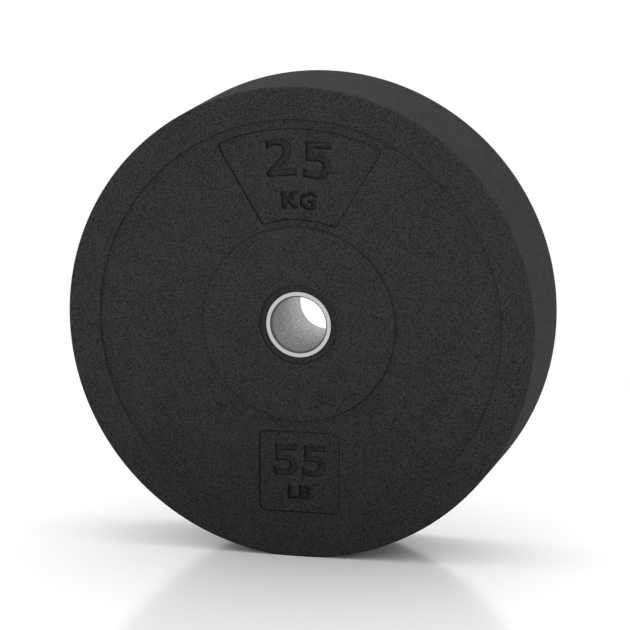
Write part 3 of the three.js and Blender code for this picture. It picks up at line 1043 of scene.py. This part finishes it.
class PLATE_OT_studio(bpy.types.Operator):
    """Build the floor, the world, the softbox and the camera"""

    bl_idname = "bumper_plate.studio"
    bl_label = "Studio"

    def execute(self, context):
        scene = context.scene
        studio = scene.plate_studio
        self.floor(scene, studio)
        self.world(scene, studio)
        self.softbox(scene, studio)
        self.camera(scene, studio)
        scene.view_settings.view_transform = "Standard"
        return {"FINISHED"}

    def floor(self, scene, studio):
        """A pale floor that fades to white. Near the plate it gives back less light than it shows,
        because the photographed plate darkens towards its foot while its floor stays pale."""
        colours = scene.plate_colours
        body = Body()
        points = arc(Vector((0, 0)), studio.floor_radius, 0, 2 * math.pi, FLOOR_SIDES)[:-1]
        loop = body.loop((p.x, p.y, RUBBER_LOW.z) for p in points)
        body.faces.append(tuple(loop))
        nodes = new_finish("studio_floor")
        flat = nodes.stretched(nodes.position(), (1, 1, 0))
        reach = nodes.add("ShaderNodeVectorMath", {"operation": "LENGTH"}, {0: flat}, 1)
        pale = {"Base Color": opaque(colours.floor), "Roughness": studio.floor_gloss}
        given = nodes.between(reach, studio.bounce_start, studio.bounce_end)
        bounce = nodes.mixed(given, colours.near_bounce, colours.far_bounce)
        dull = nodes.add("ShaderNodeBsdfDiffuse", {}, {"Color": bounce})
        white = nodes.add("ShaderNodeEmission", {}, {"Color": WHITE, "Strength": 1.0})
        fade = nodes.between(reach, studio.floor_fade_start, studio.floor_fade_end)
        shown = nodes.blended(fade, nodes.principled(pale), white)
        material = nodes.surface(nodes.blended(nodes.seen(), dull, shown))
        body.made("studio_floor", material)

    def world(self, scene, studio):
        """Even light all round, which shows as plain white"""
        world = bpy.data.worlds.new("studio_world")
        scene.world = world
        nodes = Nodes(world)
        strength = studio.world_light + (1.0 - studio.world_light) * nodes.seen()
        light = nodes.add("ShaderNodeBackground", {}, {"Color": WHITE, "Strength": strength})
        nodes.add("ShaderNodeOutputWorld", {}, {"Surface": light})

    def softbox(self, scene, studio):
        lamp = bpy.data.lights.new("top_softbox", "AREA")
        lamp.shape = "SQUARE"
        lamp.size = studio.softbox_width
        lamp.energy = studio.softbox_power
        holder = bpy.data.objects.new("top_softbox", lamp)
        holder.location = (0, studio.softbox_back, studio.softbox_height)
        holder.visible_camera = False
        aimed(holder, Vector((0, 0, 0)))
        scene.collection.objects.link(holder)

    def camera(self, scene, studio):
        data = bpy.data.cameras.new("photo_camera")
        data.sensor_fit = "HORIZONTAL"
        data.angle = studio.view_angle
        holder = bpy.data.objects.new("photo_camera", data)
        target = Vector((studio.target_x, 0, studio.target_z))
        turn, level = studio.azimuth, math.cos(studio.elevation)
        height = math.sin(studio.elevation)
        back = Vector((math.sin(turn) * level, -math.cos(turn) * level, height))
        holder.location = target + back * studio.distance
        aimed(holder, target)
        scene.collection.objects.link(holder)
        scene.camera = holder


class PLATE_PT_panel(bpy.types.Panel):
    """Sizes, colours and build buttons"""

    bl_idname = "PLATE_PT_panel"
    bl_label = "Bumper Plate"
    bl_space_type = "VIEW_3D"
    bl_region_type = "UI"
    bl_category = "Bumper Plate"

    def draw(self, context):
        layout = self.layout
        for operator in OPERATORS:
            layout.operator(operator.bl_idname)
        for name in SETTINGS:
            group = getattr(context.scene, name)
            box = layout.box()
            box.label(text=type(group).__doc__)
            for field in type(group).__annotations__:
                box.prop(group, field)


SETTINGS = {
    "plate_rubber": RubberSizes,
    "plate_panels": PanelSizes,
    "plate_insert": InsertSizes,
    "plate_colours": PlateColours,
    "plate_grain": GrainSettings,
    "plate_studio": StudioSettings,
}
OPERATORS = (
    PLATE_OT_rubber_body,
    PLATE_OT_insert_sleeve,
    PLATE_OT_anchor_disc,
    PLATE_OT_anchor_welds,
    PLATE_OT_studio,
)


def register():
    for name, group in SETTINGS.items():
        bpy.utils.register_class(group)
        setattr(bpy.types.Scene, name, bpy.props.PointerProperty(type=group))
    for operator in OPERATORS:
        bpy.utils.register_class(operator)
    bpy.utils.register_class(PLATE_PT_panel)


def unregister():
    bpy.utils.unregister_class(PLATE_PT_panel)
    for operator in reversed(OPERATORS):
        bpy.utils.unregister_class(operator)
    for name, group in reversed(SETTINGS.items()):
        delattr(bpy.types.Scene, name)
        bpy.utils.unregister_class(group)


def main():
    register()
    bpy.ops.bumper_plate.rubber_body()
    bpy.ops.bumper_plate.insert_sleeve()
    bpy.ops.bumper_plate.anchor_disc()
    bpy.ops.bumper_plate.anchor_welds()
    bpy.ops.bumper_plate.studio()


if __name__ == "__main__":
    main()
